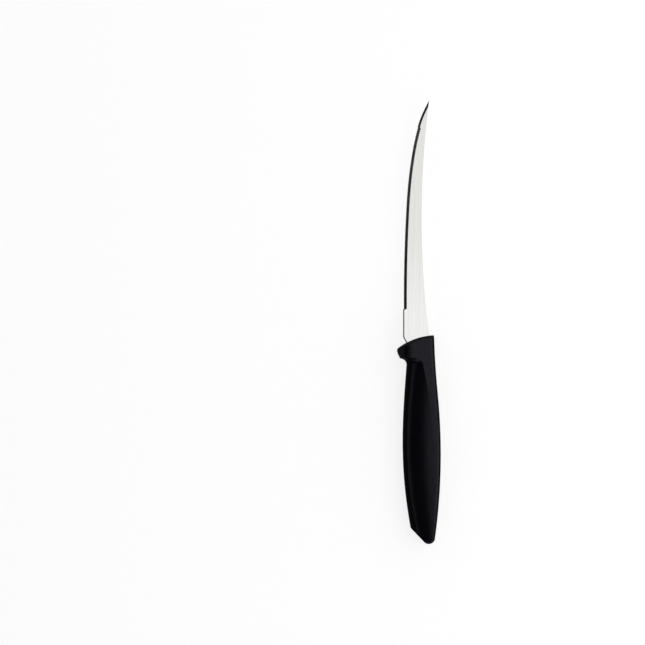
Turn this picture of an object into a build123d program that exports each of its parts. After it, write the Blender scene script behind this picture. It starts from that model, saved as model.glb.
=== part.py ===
from build123d import *
import math
import os

# A tomato knife lying on its side. The tip points along +Y, the spine lies towards +X and the
# cutting edge towards -X. While it is modelled, the handle's front is at Y = 0, the stamping's
# mid-plane is at Z = 0, and X = 0 is the handle's middle line. The last step moves the knife so
# that the bottom centre of its box is the origin.

# Blade, in millimetres
blade_length = 122.0
blade_width = 13.3
stock_thickness = 1.2
tip_thickness = 0.9
shoulder_from_front = 2.6
heel_chamfer_height = 4.2
heel_chamfer_width = 2.45
edge_break = 0.3

# Ground edge and its flutes
bevel_width = 1.6
edge_land = 0.15
edge_recess = 0.3
grind_start = 15.2
plain_tip_length = 13.4
flute_pitch = 1.2
flute_radius = 1.5
flute_reach = 1.8

# Tang inside the handle
tang_length = 66.0
tang_width = 9.4
tang_end_width = 7.0
tang_hole_radius = 2.2
tang_corner = 1.5

# Handle
handle_length = 105.1
handle_width = 19.4
flat_height = 7.4
spine_round = 1.95
nose_outset = 0.45
nose_run_out = 1.7
side_cove_radius = 3.0
side_cove_turn = 58.0
top_cove_radius = 10.0
top_cove_turn = 25.0
flare_run = 6.7
front_draft = 8.0
front_edge_round = 0.45
butt_angle = 45.8
butt_depth = 6.8
butt_end_radius = 3.2
butt_run_out_angle = 55.0
butt_edge_round = 1.6
overrun = 15.0

# The blade's outline, as shares of its width across X and of its length along Y
tip_shares = (0.290, 1.0)
spine_waist_shares = (0.003, 0.490)
spine_heel_shares = (0.292, 0.010)
heel_shares = (-0.709, 0.005)
edge_shares = [
    (-0.697, 0.165),
    (-0.587, 0.571),
    (-0.384, 0.772),
    (-0.145, 0.890),
    (0.089, 0.957),
]
tang_low_share = -0.48
tang_hole_shares = (0.36, 0.80)

# Stations of the grip: how far behind the front, as a share of the handle's length, then the edge
# side, the oval's crown and the long flat's inner edge, as shares of its width
grip_shares = [
    (0.1275, -0.397, 0.400, 0.036),
    (0.300, -0.464, 0.470, 0.201),
    (0.500, -0.501, 0.520, 0.304),
    (0.700, -0.455, 0.540, 0.356),
    (0.880, -0.330, 0.500, 0.360),
    (1.060, -0.150, 0.400, 0.280),
]

# The spine side seen from above, as shares of the handle's width across and of its length behind
# the front
spine_back_shares = (0.287, 1.050)
spine_middle_shares = (0.503, 0.558)
spine_turn_shares = (0.423, 0.266)
spine_front_shares = (0.325, -0.040)

# The guard's upper flank seen from the front, from the flat's end outwards, as shares of the
# handle's width across and of the flat's height
guard_shares = [
    (-0.144, 1.0),
    (-0.381, 0.924),
    (-0.464, 0.838),
    (-0.577, 0.662),
]
guard_side_share = 0.227

# The front and the guard's nose seen from above, as shares of the handle's width across and of its
# length behind the front, and the place across of the corner where the butt starts to slant
front_corner_shares = (0.352, -0.0162)
front_middle_shares = (-0.155, 0.0)
nose_front_shares = (-0.617, 0.0460)
nose_tip_shares = (-0.647, 0.0599)
nose_back_shares = (-0.598, 0.0866)
butt_corner_share = -0.225


def blade_point(shares):
    """A point of the blade's outline."""
    return Vector(shares[0] * blade_width, shares[1] * blade_length)


def handle_point(shares):
    """A point of the handle's outline."""
    return Vector(shares[0] * handle_width, -shares[1] * handle_length)


def cross_plane(y):
    """A plane across the knife, with X to the right and Z up."""
    return Plane(origin=(0, y, 0), x_dir=(1, 0, 0), z_dir=(0, -1, 0))


def block(x_low, x_high, y_low, y_high, z_low, z_high):
    """A box between two corners."""
    centre = ((x_low + x_high) / 2, (y_low + y_high) / 2, (z_low + z_high) / 2)
    return Pos(*centre) * Box(x_high - x_low, y_high - y_low, z_high - z_low)


def ground_edge(start_y, end_y):
    """The ground edge, from the heel to the tip: a straight start, then arcs that run on."""
    points = [blade_point(shares) for shares in edge_shares]
    edges = [Line((points[0].X, start_y), points[0])]
    for point in points[1:]:
        edges.append(TangentArc(edges[-1] @ 1, point, tangent=edges[-1] % 1))
    run_out = (blade_point(tip_shares) - points[-1]).normalized()
    length = (end_y - points[-1].Y) / run_out.Y
    edges.append(Line(points[-1], points[-1] + run_out * length))
    return edges


def blade_outline():
    """The blade before its edge is ground, from the tip round to the tip."""
    tip = blade_point(tip_shares)
    heel = blade_point(heel_shares)
    spine_heel = blade_point(spine_heel_shares)
    edge = ground_edge(grind_start, blade_length)
    edge_start = edge[0] @ 0
    step = Vector(heel.X, grind_start - edge_recess)
    chamfer_end = heel + Vector(heel_chamfer_width, -heel_chamfer_height)
    tang_end_y = -tang_length
    tang_low = tang_low_share * blade_width
    tang_high = tang_low + tang_width
    end_low = (tang_low + tang_high - tang_end_width) / 2
    end_high = end_low + tang_end_width
    shoulder_y = chamfer_end.Y - tang_corner
    spine = ThreePointArc(tip, blade_point(spine_waist_shares), spine_heel)
    outline = [
        spine,
        Line(spine_heel, (tang_high, shoulder_y)),
        Line((tang_high, shoulder_y), (end_high, tang_end_y)),
        Line((end_high, tang_end_y), (end_low, tang_end_y)),
        Line((end_low, tang_end_y), (tang_low, shoulder_y)),
        Line((tang_low, shoulder_y), chamfer_end),
        Line(chamfer_end, heel),
        Line(heel, step),
        Line(step, edge_start),
    ]
    return Wire(outline + edge)


def blade_blank():
    """The stamping: the outline in strip stock, with the tang's holes and broken heel edges."""
    blank = extrude(Face(blade_outline()), stock_thickness / 2, both=True)
    tang_middle = (2 * tang_low_share * blade_width + tang_width) / 2
    for share in tang_hole_shares:
        place = Pos(tang_middle, -share * tang_length, 0)
        blank -= place * Cylinder(tang_hole_radius, stock_thickness + overrun)
    uprights = blank.edges().filter_by(Axis.Z)
    blank = fillet(uprights.sort_by(Axis.Y)[:2], tang_corner)
    return blank


def heel_break(start, end):
    """What breaks the bare heel's upper edge between two points of the outline."""
    direction = (end - start).normalized()
    inward = Vector(direction.Y, -direction.X)
    top = stock_thickness / 2
    points = [
        (-edge_break, top - 2 * edge_break),
        (2 * edge_break, top + edge_break),
        (-edge_break, top + edge_break),
    ]
    face = Plane(origin=end, x_dir=inward, z_dir=-direction) * Face(Wire.make_polygon(points))
    return extrude(face, (end - start).length)


def top_z(y):
    """Height of the tapered face at a place along the blade."""
    drop = stock_thickness - tip_thickness
    return stock_thickness / 2 - drop * (y - shoulder_from_front) / (blade_length - shoulder_from_front)


def taper_cutter():
    """What is ground off one face, so that the blade thins towards its point."""
    end_y = blade_length + overrun
    points = [
        (shoulder_from_front, top_z(shoulder_from_front)),
        (end_y, top_z(end_y)),
        (end_y, overrun),
        (shoulder_from_front, overrun),
    ]
    return extrude(Plane.YZ * Face(Wire.make_polygon(points)), overrun, both=True)


def bevel_cutter():
    """What the plain grind takes off along the edge, from the heel to past the tip."""
    path = Wire(ground_edge(grind_start, blade_length + bevel_width))
    low = edge_land - stock_thickness / 2
    high = low + 2 * (stock_thickness - edge_land)
    points = [(-bevel_width, low), (0, low), (2 * bevel_width, high), (-bevel_width, high)]
    start = Pos(blade_point(edge_shares[0]).X, 0, 0)
    profile = cross_plane(grind_start) * start * Face(Wire.make_polygon(points))
    return sweep(profile, path)


def flutes():
    """The fine flutes ground into the bevel, one cylinder each, square to the edge."""
    path = Wire(ground_edge(grind_start, blade_length)[:-1])
    end_y = blade_length - plain_tip_length
    end_length = path.length - (blade_point(edge_shares[-1]).Y - end_y)
    count = int(end_length / flute_pitch)
    cutters = []
    for number in range(count):
        along = (number + 0.5) * flute_pitch / path.length
        point = path @ along
        tangent = path % along
        inward = Vector(tangent.Y, -tangent.X)
        rise = math.atan2(top_z(point.Y) + stock_thickness / 2, flute_reach - edge_recess)
        axis = inward * math.cos(rise) + Vector(0, 0, math.sin(rise))
        lift = inward * -math.sin(rise) + Vector(0, 0, math.cos(rise))
        bottom = Vector(point.X, point.Y, -stock_thickness / 2) + inward * edge_recess
        centre = bottom + lift * flute_radius + axis * flute_reach / 2
        place = Plane(origin=centre, x_dir=tangent, z_dir=axis)
        cutters.append(place * Cylinder(flute_radius, flute_reach * 4))
    return cutters


def make_blade():
    """The finished blade with its tang."""
    heel = blade_point(heel_shares)
    chamfer_end = heel + Vector(heel_chamfer_width, -heel_chamfer_height)
    blade = blade_blank() - taper_cutter()
    blade -= heel_break(heel, Vector(heel.X, grind_start))
    blade -= heel_break(chamfer_end, heel)
    blade -= bevel_cutter()
    cutters = flutes()
    blade -= cutters[0::2]
    blade -= cutters[1::2]
    return blade


def grip_section(y, edge_x, crown_x, height):
    """A section of the rounded grip: a whole oval, of which the body keeps the edge side."""
    return cross_plane(y) * Pos(crown_x, 0) * Ellipse(crown_x - edge_x, height)


def grip_station(shares):
    """Where a grip section stands: the height makes it meet the flat at the flat's inner edge."""
    back_share, edge_share, crown_share, flat_share = shares
    off_crown_share = (crown_share - flat_share) / (crown_share - edge_share)
    height = flat_height / math.sqrt(1 - off_crown_share ** 2)
    return -back_share * handle_length, edge_share * handle_width, crown_share * handle_width, height


def cove_rise(distance, radius, turn):
    """How far a cove has risen at a distance from its start: round an arc, then straight on."""
    turn = math.radians(turn)
    arc_run = radius * math.sin(turn)
    if distance < arc_run:
        return radius - math.sqrt(radius ** 2 - distance ** 2)
    return radius * (1 - math.cos(turn)) + (distance - arc_run) * math.tan(turn)


def cove_sections():
    """Sections that flare from the neck up under the guard, steeply at the side and gently on top."""
    y, edge_x, crown_x, height = grip_station(grip_shares[0])
    arc_run = side_cove_radius * math.sin(math.radians(side_cove_turn))
    sections = []
    for distance in (0, arc_run / 3, arc_run * 2 / 3, arc_run, flare_run):
        out = cove_rise(distance, side_cove_radius, side_cove_turn)
        up = cove_rise(distance, top_cove_radius, top_cove_turn)
        sections.append(grip_section(y + distance, edge_x - out, crown_x, height + up))
    return sections


def plan_outline():
    """The handle's body seen from above: the spine side as two arcs, and room on the edge side."""
    middle = handle_point(spine_middle_shares)
    back = ThreePointArc(handle_point(spine_back_shares), middle, handle_point(spine_turn_shares))
    front = TangentArc(back @ 1, handle_point(spine_front_shares), tangent=back % 1)
    far_x = -handle_width
    outline = [
        back,
        front,
        Line(front @ 1, (far_x, (front @ 1).Y)),
        Line((far_x, (front @ 1).Y), (far_x, (back @ 0).Y)),
        Line((far_x, (back @ 0).Y), back @ 0),
    ]
    return Face(Wire(outline))


def cross_outline():
    """The handle's body seen from the front: the flat, and the guard's flank as arcs that run on."""
    points = [Vector(across * handle_width, up * flat_height) for across, up in guard_shares]
    guard_x = nose_tip_shares[0] * handle_width - nose_outset
    points.append(Vector(guard_x, guard_side_share * flat_height))
    upper = [Line((handle_width, flat_height), points[0])]
    for point in points[1:]:
        upper.append(TangentArc(upper[-1] @ 1, point, tangent=upper[-1] % 1))
    upper.append(Line(points[-1], (guard_x, 0)))
    lower = [edge.mirror(Plane.XZ) for edge in upper]
    side = Line((handle_width, flat_height), (handle_width, -flat_height))
    return Face(Wire(upper + lower + [side]))


def make_body():
    """The body that the guard and the grip are cut from, with its flats and rounded spine side."""
    cross = cross_plane(-handle_length - overrun) * cross_outline()
    body = extrude(plan_outline(), 2 * flat_height, both=True)
    body &= extrude(cross, handle_length + 2 * overrun, dir=(0, 1, 0))
    flats = body.faces().filter_by(Plane.XY)
    spine = [edge for flat in flats for edge in flat.edges().filter_by(GeomType.CIRCLE)]
    return fillet(spine, spine_round)


def front_outline():
    """The front and the guard's nose seen from above, closed well behind them."""
    corner = handle_point(front_corner_shares)
    front = ThreePointArc(corner, handle_point(front_middle_shares), handle_point(nose_front_shares))
    nose = TangentArc(front @ 1, handle_point(nose_tip_shares), tangent=front % 1)
    under = TangentArc(nose @ 1, handle_point(nose_back_shares), tangent=nose % 1)
    leave = (under @ 1) + (under % 1) * nose_run_out
    far = corner - (front % 0) * handle_width / 2
    back_y = -handle_length
    outline = [
        front,
        nose,
        under,
        Line(under @ 1, leave),
        Line(leave, (leave.X, back_y)),
        Line((leave.X, back_y), (far.X, back_y)),
        Line((far.X, back_y), far),
        Line(far, corner),
    ]
    return Face(Wire(outline))


def rim_edges(walls):
    """The edges round a set of faces, without those between two of them."""
    edges = [edge for wall in walls for edge in wall.edges()]
    rim = []
    for edge in edges:
        here = [other for other in edges if (other @ 0.5 - edge @ 0.5).length < edge_break / 100]
        if len(here) == 1:
            rim.append(edge)
    return rim


def front_rim(collar):
    """The curved edges round the collar's drafted front and the guard's nose."""
    walls = collar.faces().filter_by(GeomType.CONE)
    return [edge for edge in rim_edges(walls) if edge.geom_type != GeomType.LINE]


def handle_front(body):
    """The collar and the guard: the body, cut to its front outline and coved behind."""
    neck_y = -grip_shares[0][0] * handle_length
    ahead = block(-overrun, overrun, neck_y, overrun, -overrun, overrun)
    flare = loft(cove_sections())
    flare_y = neck_y + flare_run
    flare += block(-2 * overrun, 2 * overrun, flare_y - edge_break, overrun, -overrun, overrun)
    half = extrude(front_outline(), overrun, taper=front_draft)
    shape = half + half.mirror(Plane.XY)
    collar = body & ahead & shape
    return fillet(front_rim(collar), front_edge_round) & flare


def butt_cutter():
    """Everything behind the slanting butt and its rounded end."""
    turn = math.radians(butt_angle)
    point = Vector(butt_corner_share * handle_width, butt_depth - handle_length)
    end_y = -handle_length
    direction = Vector(math.cos(turn), -math.sin(turn))
    centre_y = end_y + butt_end_radius
    slant_end_y = centre_y - butt_end_radius * math.cos(turn)
    slant_end = point + direction * ((point.Y - slant_end_y) / math.sin(turn))
    centre = slant_end + Vector(math.sin(turn), math.cos(turn)) * butt_end_radius
    slant_start = point - direction * 2 * handle_width
    end_turn = math.radians(butt_run_out_angle)
    round_end = centre + Vector(math.sin(end_turn), -math.cos(end_turn)) * butt_end_radius
    bottom = Vector(centre.X, end_y)
    run_out = round_end + Vector(math.cos(end_turn), math.sin(end_turn)) * 3 * handle_width
    far_y = end_y - overrun
    outline = [
        Line(slant_start, slant_end),
        ThreePointArc(slant_end, bottom, round_end),
        Line(round_end, run_out),
        Line(run_out, (run_out.X, far_y)),
        Line((run_out.X, far_y), (slant_start.X, far_y)),
        Line((slant_start.X, far_y), slant_start),
    ]
    return extrude(Face(Wire(outline)), overrun, both=True)


def rounded_butt(shape):
    """A shape cut to the slanting butt, with the edge round the cut rounded."""
    cutter = butt_cutter()
    shape -= cutter
    walls = [face for face in shape.faces() if cutter.distance_to(face.center()) < edge_break / 100]
    return fillet(rim_edges(walls), butt_edge_round)


def make_handle(blade):
    """The moulded handle, with the space that the tang fills."""
    body = make_body()
    grip = loft([grip_section(*grip_station(shares)) for shares in grip_shares])
    rear = rounded_butt(grip) & rounded_butt(body)
    return (handle_front(body) + rear) - blade


blade = make_blade()
handle = make_handle(blade)
whole = Compound([blade, handle]).bounding_box()
to_origin = Pos(-whole.center().X, -whole.center().Y, -whole.min.Z)

os.makedirs("parts", exist_ok=True)
export_step(to_origin * blade, "parts/blade.step")
export_step(to_origin * handle, "parts/handle.step")
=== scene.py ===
import bpy
import math
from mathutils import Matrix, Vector


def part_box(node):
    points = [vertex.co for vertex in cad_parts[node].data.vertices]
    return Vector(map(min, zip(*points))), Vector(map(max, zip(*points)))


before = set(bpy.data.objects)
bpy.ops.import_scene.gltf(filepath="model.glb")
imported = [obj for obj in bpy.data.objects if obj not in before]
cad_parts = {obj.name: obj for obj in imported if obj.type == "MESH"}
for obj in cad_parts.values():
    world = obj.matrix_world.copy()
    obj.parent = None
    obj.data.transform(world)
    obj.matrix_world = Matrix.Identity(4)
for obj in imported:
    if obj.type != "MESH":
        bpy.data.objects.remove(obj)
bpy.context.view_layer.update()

# Blade. The real piece is one stamping of stainless strip, its faces polished along their length.
# The edge is ground from the upper face only, with a fine-grained wheel that also cuts the flutes and
# breaks the bare heel's outline. Nothing fixes it but the plastic moulded round its tang. Its colours
# hold painted light: the faces are painted brighter towards the collar, the ground edge is painted
# dark for the dark it mirrors, and a dark line painted along the heel's outline is painted shade.
# Painted light: the faces' colour is painted brighter towards the collar and dimmer towards the tip, a
# gradient of light and not of the steel.
collar_steel_painted_bright = (0.960, 0.957, 0.945, 1.0)
tip_steel_painted_dim = (0.845, 0.833, 0.810, 1.0)
painted_gradient_from_share = 0.5
# Painted reflection: the ground edge's colour is painted dark for the dark surroundings it mirrors; the
# ground steel itself is about as light as the faces.
ground_edge_painted_dark = (0.220, 0.222, 0.230, 1.0)
polish_line_width = 0.00010
polish_line_length = 0.030
polish_line_detail = 3.0
polish_band_width = 0.0009
polish_band_length = 0.080
polish_band_detail = 2.0
polish_band_share = 0.6
polish_depth = 0.0000015
polish_roughness = 0.17
polish_roughness_spread = 0.10
streak_from = 0.35
streak_to = 0.65
streak_darkening = 0.94
grind_slope_from = 0.02
grind_slope_to = 0.08
grind_line_width = 0.00012
grind_line_length = 0.003
grind_line_detail = 2.0
grind_depth = 0.000004
grind_roughness = 0.14
grind_roughness_spread = 0.08
heel_corner_x = -0.008024
heel_corner_y = -0.00784
heel_slant_across = 0.00245
heel_slant_down = 0.0042
# Painted shade: a dark line painted along the heel's outline and its slant stands in for the shade of the
# broken edge there; it is no rubbing of the steel.
heel_line_painted_shade = (0.120, 0.120, 0.125, 1.0)
painted_heel_line_width = 0.00055
painted_heel_line_fade = 0.00010


class Socket:
    """The output of a shader node. Arithmetic on it adds Math nodes."""

    def __init__(self, finish, output):
        self.finish = finish
        self.output = output

    def beside(self, name):
        """Another output of the same node."""
        return Socket(self.finish, self.output.node.outputs[name])

    def __add__(self, other):
        return self.finish.maths("ADD", self, other)

    def __radd__(self, other):
        return self.finish.maths("ADD", other, self)

    def __sub__(self, other):
        return self.finish.maths("SUBTRACT", self, other)

    def __rsub__(self, other):
        return self.finish.maths("SUBTRACT", other, self)

    def __mul__(self, other):
        return self.finish.maths("MULTIPLY", self, other)

    def __rmul__(self, other):
        return self.finish.maths("MULTIPLY", other, self)

    def __abs__(self):
        return self.finish.maths("ABSOLUTE", self)


class Finish:
    """A surface finish, made of shader nodes."""

    def __init__(self, name):
        self.material = bpy.data.materials.new(name)
        self.material.use_nodes = True
        self.tree = self.material.node_tree
        self.tree.nodes.clear()

    def node(self, kind, output, settings=None, in_order=(), **by_name):
        """Adds a node, first its settings and then its sockets, and gives one of its outputs."""
        made = self.tree.nodes.new(kind)
        for name, value in (settings or {}).items():
            setattr(made, name, value)
        fed = list(zip(made.inputs, in_order))
        fed += [(made.inputs[name.replace("_", " ")], value) for name, value in by_name.items()]
        for place, value in fed:
            if isinstance(value, Socket):
                self.tree.links.new(value.output, place)
            else:
                place.default_value = value
        return None if output is None else Socket(self, made.outputs[output])

    def maths(self, operation, *values):
        return self.node("ShaderNodeMath", "Value", {"operation": operation}, values)

    def rise(self, value, start, end):
        """Nought up to start, one from end on, and smooth between them."""
        smooth = {"interpolation_type": "SMOOTHSTEP"}
        return self.node("ShaderNodeMapRange", "Result", smooth, Value=value, From_Min=start, From_Max=end)

    def blend(self, factor, first, second):
        """A colour between two, by a factor."""
        return self.node("ShaderNodeMix", "Result", {"data_type": "RGBA"}, Factor=factor, A=first, B=second)

    def darken(self, colour, factor):
        """A colour made darker by a factor."""
        scale = {"operation": "SCALE"}
        return self.node("ShaderNodeVectorMath", "Vector", scale, Vector=colour, Scale=factor)

    def grain(self, width, length, height, detail):
        """Noise whose spots are this wide across the knife, this long along it and this high."""
        place = self.node("ShaderNodeTexCoord", "Object")
        size = (1 / width, 1 / length, 1 / height)
        stretched = self.node("ShaderNodeMapping", "Vector", Vector=place, Scale=size)
        return self.node("ShaderNodeTexNoise", "Fac", Vector=stretched, Scale=1.0, Detail=detail)

    def relief(self, height):
        """The slopes of a surface raised by this height in metres."""
        return self.node("ShaderNodeBump", "Normal", Strength=1.0, Distance=1.0, Height=height)

    def surface(self, **values):
        """A surface with these values, for cover or a mix."""
        return self.node("ShaderNodeBsdfPrincipled", "BSDF", **values)

    def cover(self, piece, surface):
        """Puts the finish on every slot of a piece."""
        self.node("ShaderNodeOutputMaterial", None, Surface=surface)
        for slot in piece.material_slots:
            slot.material = self.material


blade = bpy.data.objects["blade"]
collar_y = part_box("handle")[1][1]
tip_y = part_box("blade")[1][1]

steel = Finish("polished_stainless_steel")
steel_place = steel.node("ShaderNodeTexCoord", "Object")
steel_x = steel.node("ShaderNodeSeparateXYZ", "X", Vector=steel_place)
steel_y = steel_x.beside("Y")
level = abs(steel.node("ShaderNodeSeparateXYZ", "Z", Vector=steel_place.beside("Normal")))

heel_slant = math.hypot(heel_slant_across, heel_slant_down)
inward_x = heel_slant_down / heel_slant
inward_y = heel_slant_across / heel_slant
from_heel = steel_x - heel_corner_x
from_slant = inward_x * from_heel + inward_y * (steel_y - heel_corner_y)
# Mask of the dark line painted along the heel's outline and slant, as painted shade; the ground edge's mask
# takes it in too.
past_painted_heel_line = steel.rise(from_heel, painted_heel_line_width, painted_heel_line_width + painted_heel_line_fade)
past_painted_slant_line = steel.rise(from_slant, painted_heel_line_width, painted_heel_line_width + painted_heel_line_fade)
painted_heel_line = 1 - past_painted_heel_line * past_painted_slant_line
ground_edge_and_painted_heel_line = 1 - (1 - steel.rise(1 - level, grind_slope_from, grind_slope_to)) * (1 - painted_heel_line)

polish_lines = steel.grain(polish_line_width, polish_line_length, polish_line_length, polish_line_detail)
polish_bands = steel.grain(polish_band_width, polish_band_length, polish_band_length, polish_band_detail)
grind_lines = steel.grain(grind_line_length, grind_line_width, grind_line_length, grind_line_detail)
polish_marks = polish_band_share * polish_bands + (1 - polish_band_share) * polish_lines
streaks = steel.rise(polish_marks, streak_from, streak_to)

# The painted light gradient: the faces are painted brighter at the collar and dimmer towards the tip.
painted_gradient_end_y = collar_y + painted_gradient_from_share * (tip_y - collar_y)
painted_gradient_steel = steel.blend(steel.rise(steel_y, collar_y, painted_gradient_end_y), collar_steel_painted_bright, tip_steel_painted_dim)
streaked = steel.blend(streaks, steel.darken(painted_gradient_steel, streak_darkening), painted_gradient_steel)
# Colour of the ground edge and of the heel line: painted dark reflection on the ground edge, painted shade
# on the heel line.
painted_dark_edge_colour = steel.blend(painted_heel_line * level, ground_edge_painted_dark, heel_line_painted_shade)
polish_gloss = polish_roughness + polish_roughness_spread * polish_lines
grind_gloss = grind_roughness + grind_roughness_spread * grind_lines
steel_height = polish_depth * (1 - ground_edge_and_painted_heel_line) * polish_lines + grind_depth * ground_edge_and_painted_heel_line * grind_lines
steel_surface = steel.surface(
    Base_Color=steel.blend(ground_edge_and_painted_heel_line, streaked, painted_dark_edge_colour),
    Metallic=1.0,
    Roughness=polish_gloss + ground_edge_and_painted_heel_line * (grind_gloss - polish_gloss),
    Normal=steel.relief(steel_height),
)
steel.cover(blade, steel_surface)

# Handle. Black polypropylene, injected round the tang in a two-part mould. The mould's fine spark
# grain makes it matt, and the two halves of the mould meet in a faint line half way up its sides.
# It reflects little at a glancing angle, because the grain hides most of the surface there.
plastic_dark = (0.0011, 0.0011, 0.0022, 1.0)
plastic_light = (0.0020, 0.0020, 0.0034, 1.0)
plastic_sheen = 0.32
plastic_sheen_tint = (0.84, 0.81, 1.0, 1.0)
plastic_roughness = 0.23
plastic_roughness_spread = 0.06
grain_size = 0.00050
grain_detail = 3.0
grain_depth = 0.000006
grain_colour_share = 0.5
smudge_size = 0.012
smudge_detail = 2.0
parting_line_width = 0.00012
parting_line_core = 0.00003
parting_line_depth = 0.00003
glancing_from = 0.05
glancing_to = 0.35
glancing_matt_share = 0.93
pit_from = 0.35
pit_to = 0.65
pit_matt_share = 0.30

handle = bpy.data.objects["handle"]
handle_low, handle_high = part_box("handle")
parting_height = (handle_low[2] + handle_high[2]) / 2

plastic = Finish("black_moulded_polypropylene")
plastic_place = plastic.node("ShaderNodeTexCoord", "Object")
plastic_z = plastic.node("ShaderNodeSeparateXYZ", "Z", Vector=plastic_place)
spark_grain = plastic.grain(grain_size, grain_size, grain_size, grain_detail)
smudges = plastic.grain(smudge_size, smudge_size, smudge_size, smudge_detail)
parting_line = 1 - plastic.rise(abs(plastic_z - parting_height), parting_line_core, parting_line_width)

plastic_marks = grain_colour_share * spark_grain + (1 - grain_colour_share) * smudges
plastic_colour = plastic.blend(plastic_marks, plastic_dark, plastic_light)
plastic_relief = plastic.relief(grain_depth * spark_grain + parting_line_depth * parting_line)
glossy_plastic = plastic.surface(
    Base_Color=plastic_colour,
    Roughness=plastic_roughness + plastic_roughness_spread * smudges,
    Specular_IOR_Level=plastic_sheen,
    Specular_Tint=plastic_sheen_tint,
    Normal=plastic_relief,
)
matt_plastic = plastic.surface(
    Base_Color=plastic_colour,
    Roughness=1.0,
    Specular_IOR_Level=0.0,
    Normal=plastic_relief,
)
facing = plastic.node("ShaderNodeLayerWeight", "Facing", Blend=0.5)
glancing = plastic.rise(facing, glancing_from, glancing_to)
pits = plastic.rise(spark_grain, pit_from, pit_to)
matt_share = 1 - (1 - glancing_matt_share * glancing) * (1 - pit_matt_share * pits)
plastic_mix = plastic.node(
    "ShaderNodeMixShader", "Shader", in_order=(matt_share, glossy_plastic, matt_plastic)
)
plastic.cover(handle, plastic_mix)

# Table and tent. The knife lies on a seamless white table in an even white tent. The table keeps a
# faint shadow of the knife, and the camera and the steel see it nearly white.
table_reach = 4.0
table_colour = (0.30, 0.30, 0.30, 1.0)
table_roughness = 0.9
table_unseen_glow = (0.0, 0.0, 0.0, 1.0)
table_seen_glow = (0.81, 0.81, 0.81, 1.0)
tent_colour = (1.0, 1.0, 1.0, 1.0)
tent_strength = 1.0


def flat_piece(name, corners, finish_name):
    """A board or card of the studio, its corners given in pairs along it, and its finish."""
    mesh = bpy.data.meshes.new(name)
    faces = [(place, place + 1, place + 3, place + 2) for place in range(0, len(corners) - 2, 2)]
    mesh.from_pydata(corners, [], faces)
    piece = bpy.data.objects.new(name, mesh)
    finish = Finish(finish_name)
    mesh.materials.append(finish.material)
    bpy.context.scene.collection.objects.link(piece)
    return piece, finish


table_sides = (-table_reach, table_reach)
table, white = flat_piece("table", [(x, y, 0) for x in table_sides for y in table_sides], "white_table")
camera_ray = white.node("ShaderNodeLightPath", "Is Camera Ray")
seen = camera_ray + camera_ray.beside("Is Glossy Ray") + camera_ray.beside("Is Transmission Ray")
table_surface = white.surface(
    Base_Color=table_colour,
    Roughness=table_roughness,
    Specular_IOR_Level=0.0,
    Emission_Color=white.blend(seen, table_unseen_glow, table_seen_glow),
    Emission_Strength=1.0,
)
white.cover(table, table_surface)

tent = bpy.data.worlds.new("tent")
tent.use_nodes = True
tent_light = tent.node_tree.nodes["Background"]
tent_light.inputs["Color"].default_value = tent_colour
tent_light.inputs["Strength"].default_value = tent_strength
bpy.context.scene.world = tent

# Black cards. A curved one stands low round the edge side and darkens the ground edge. Three flat ones
# hang over the edge side, over the butt and ahead of the collar, whose rounded front they darken. A
# bright slit is left between the low and the high card. Turns, rises and leans are in degrees.
card_colour = (0.02, 0.02, 0.02, 1.0)
low_card_radius = 0.90
low_card_turns_and_rises = [
    (-45.0, 29.0),
    (-30.0, 29.0),
    (-20.0, 29.0),
    (-14.0, 20.0),
    (-1.0, 20.0),
    (5.0, 29.0),
    (20.0, 29.0),
    (34.0, 29.0),
    (48.0, 29.0),
    (62.0, 29.0),
]
hanging_height = 1.0
high_card_leans = (60.0, 17.0)
high_card_back = -0.9
high_card_front = 0.35
butt_card_leans = (58.0, 9.0)
butt_card_right = 0.25
front_card_leans = (20.0, 48.0)
front_card_half_width = 0.5


def black_card(name, corners):
    """A card of matt black board, which the camera doesn't see."""
    card, black = flat_piece(name + "_card", corners, name + "_black_card")
    card.visible_camera = False
    black.cover(card, black.surface(Base_Color=card_colour, Roughness=1.0))


def hanging_corners(xs, ys):
    """The corners of a card that hangs level between these sides."""
    return [(x, y, hanging_height) for x in xs for y in ys]


def off_centre(leans):
    """How far from the middle the hanging height is met at these leans from straight up."""
    return [hanging_height * math.tan(math.radians(lean)) for lean in leans]


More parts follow.
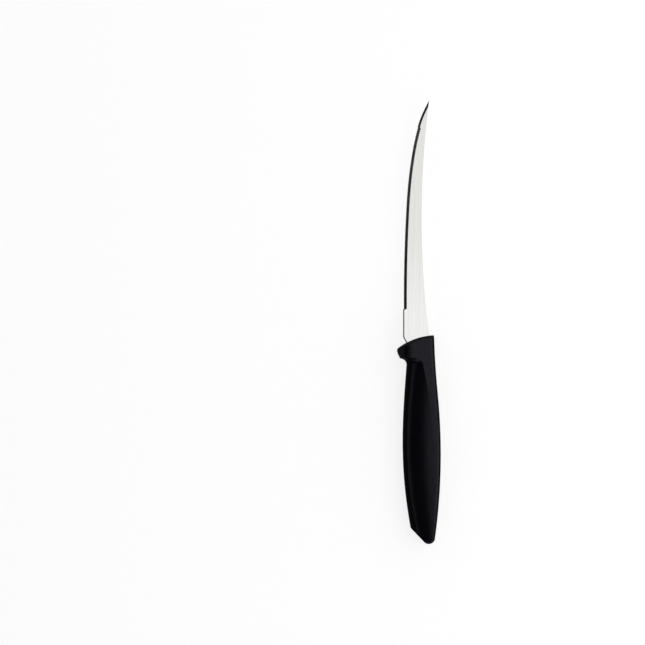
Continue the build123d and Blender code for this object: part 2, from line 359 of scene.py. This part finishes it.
low_corners = []
for turn, rise in low_card_turns_and_rises:
    x = -low_card_radius * math.cos(math.radians(turn))
    y = low_card_radius * math.sin(math.radians(turn))
    low_corners += [(x, y, 0.0), (x, y, low_card_radius * math.tan(math.radians(rise)))]
black_card("low", low_corners)

high_far, high_near = off_centre(high_card_leans)
black_card("high", hanging_corners((-high_far, -high_near), (high_card_back, high_card_front)))
butt_far, butt_near = off_centre(butt_card_leans)
black_card("butt", hanging_corners((-high_near, butt_card_right), (-butt_far, -butt_near)))
front_xs = (-front_card_half_width, front_card_half_width)
black_card("front", hanging_corners(front_xs, off_centre(front_card_leans)))

# Soft lamp. A large diffused lamp hangs over the spine side, and gives the flat's spine edge its
# brighter line.
lamp_radiance = 0.3
lamp_size = 0.7
lamp_place = Vector((0.80, 0.0, 1.15))
lamp_data = bpy.data.lights.new("spine_lamp", "AREA")
lamp_data.shape = "SQUARE"
lamp_data.size = lamp_size
lamp_data.energy = lamp_radiance * lamp_size ** 2 * math.pi
lamp = bpy.data.objects.new("spine_lamp", lamp_data)
lamp.location = lamp_place
lamp.rotation_euler = (-lamp_place).to_track_quat("-Z", "Y").to_euler()
bpy.context.scene.collection.objects.link(lamp)

# Camera. The picture is taken from straight above with a long lens, the blade's point at its top. The
# handle's middle line and the front of its collar stand at their places in the picture.
picture_size = 645
picture_pixel = 0.00051217
handle_middle_px = 421.5
handle_front_px = 338.5
handle_middle = Vector((0.001387, -0.00845, 0.0074))
camera_height = 3.0
camera_reach = 20.0
film_width = 36.0
camera_data = bpy.data.cameras.new("camera")
camera_data.sensor_width = film_width
camera_data.lens = film_width * camera_height / (picture_size * picture_pixel)
camera_data.clip_end = camera_reach
camera = bpy.data.objects.new("camera", camera_data)
picture_x = handle_middle.x + (picture_size / 2 - handle_middle_px) * picture_pixel
picture_y = handle_middle.y + (handle_front_px - picture_size / 2) * picture_pixel
camera.location = (picture_x, picture_y, handle_middle.z + camera_height)
bpy.context.scene.collection.objects.link(camera)
bpy.context.scene.camera = camera
bpy.context.scene.view_settings.view_transform = "Standard"
